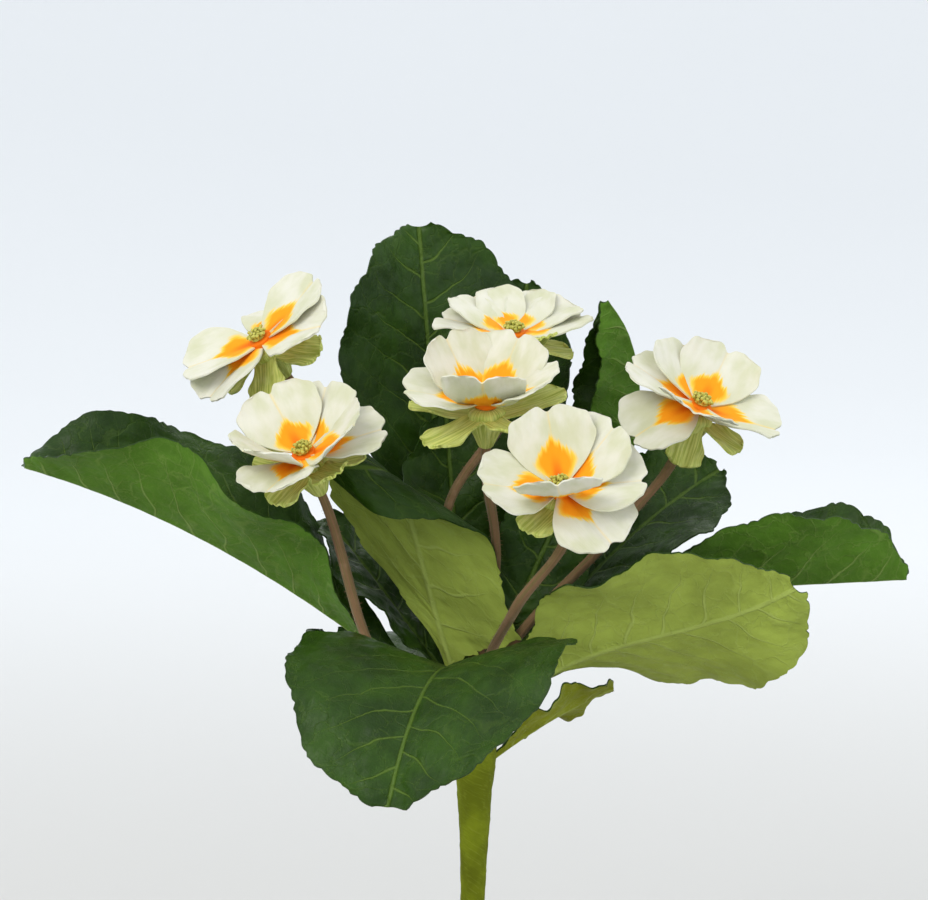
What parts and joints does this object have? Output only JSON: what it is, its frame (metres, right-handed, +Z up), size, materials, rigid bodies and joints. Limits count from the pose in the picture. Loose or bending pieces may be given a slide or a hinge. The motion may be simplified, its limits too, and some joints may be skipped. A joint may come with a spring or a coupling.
{
  "type": "potted primrose",
  "caption": "Potted primrose: a rosette of broad toothed leaves round slender flower stalks with wide notched petals, in a plain tapered clay pot.",
  "frame": {"origin": "middle of the pot's foot, on the surface that the pot stands on", "axes": "+Z up, +Y from the viewer of the picture to the plant's back, +X to the viewer's right"},
  "size_m": [0.2461, 0.1682, 0.3046],
  "materials": {
    "clay": "fired terracotta, matt and slightly rough",
    "compost": "dark crumbled compost",
    "stem_wrap": "yellow-green tape wound round the stem",
    "leaf": "dark green above with lighter veins, paler below",
    "petal": "ivory with an orange flare at the throat",
    "calyx": "soft lime green",
    "heart": "yellow-green anthers",
    "stalk": "pinkish brown, finely hairy"
  },
  "bodies": {
    "root": {"pot": "clay", "soil": "compost", "stem": "stem_wrap", "leaf_left": "leaf", "leaf_front": "leaf", "leaf_top": "leaf", "leaf_back_right": "leaf", "leaf_upright": "leaf", "leaf_mid_right": "leaf", "leaf_far_right": "leaf", "leaf_right_low": "leaf", "leaf_low": "leaf", "leaf_front_roll": "leaf", "leaf_left_back": "leaf", "leaf_back_centre": "leaf", "leaf_centre_right": "leaf", "leaf_back_low_left": "leaf", "leaf_back_low_right": "leaf", "corolla_front": "petal", "calyx_front": "calyx", "heart_front": "heart", "stalk_front": "stalk", "corolla_centre": "petal", "calyx_centre": "calyx", "heart_centre": "heart", "stalk_centre": "stalk", "corolla_back": "petal", "calyx_back": "calyx", "heart_back": "heart", "stalk_back": "stalk", "corolla_left_high": "petal", "calyx_left_high": "calyx", "heart_left_high": "heart", "stalk_left_high": "stalk", "corolla_left": "petal", "calyx_left": "calyx", "heart_left": "heart", "stalk_left": "stalk", "corolla_right": "petal", "calyx_right": "calyx", "heart_right": "heart", "stalk_right": "stalk"}
  },
  "joints": []
}
